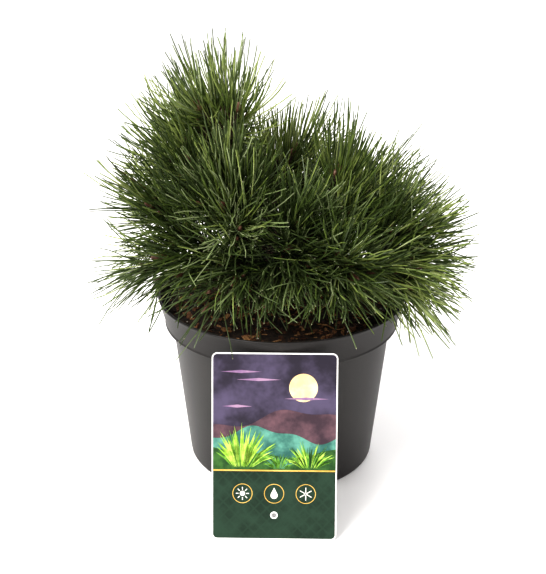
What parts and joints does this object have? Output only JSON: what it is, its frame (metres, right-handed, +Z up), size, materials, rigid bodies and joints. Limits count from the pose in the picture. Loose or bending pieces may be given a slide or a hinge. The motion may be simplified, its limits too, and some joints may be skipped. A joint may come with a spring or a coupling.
{
  "type": "mugo pine in a nursery pot",
  "caption": "Young dwarf mugo pine in a round plastic nursery pot, with a printed care card leaning on the pot's collar.",
  "frame": {"origin": "centre of the pot's flat underside, which stands on level ground", "axes": "+Z up along the pot's axis, -Y towards the front where the care card leans, +X to the viewer's right"},
  "size_m": [0.2596, 0.2546, 0.2958],
  "materials": {
    "pot_plastic": "matte black moulded polypropylene with fine handling scratches",
    "potting_soil": "dark moist peat with bark chips, fallen needles and white perlite",
    "printed_card": "satin printed plastic card with a white border",
    "bark": "rough scaly grey-brown bark",
    "needles": "stiff slightly glossy dark green needles with paler young tips"
  },
  "bodies": {
    "root": {"pot": "pot_plastic", "root_ball": "potting_soil", "care_card": "printed_card", "trunk": "bark", "bough_upper_left": "bark", "bough_left": "bark", "bough_low_left": "bark", "bough_front_left": "bark", "bough_front_low": "bark", "bough_front": "bark", "bough_front_right": "bark", "bough_right_top": "bark", "bough_right": "bark", "bough_low_right": "bark", "bough_back": "bark", "bough_back_right": "bark", "bough_back_left": "bark", "bough_low_back": "bark", "needles_leader": "needles", "needles_upper_left": "needles", "needles_left": "needles", "needles_low_left": "needles", "needles_front_left": "needles", "needles_front_low": "needles", "needles_front": "needles", "needles_front_right": "needles", "needles_right_top": "needles", "needles_right": "needles", "needles_low_right": "needles", "needles_back": "needles", "needles_back_right": "needles", "needles_back_left": "needles", "needles_low_back": "needles"}
  },
  "joints": []
}
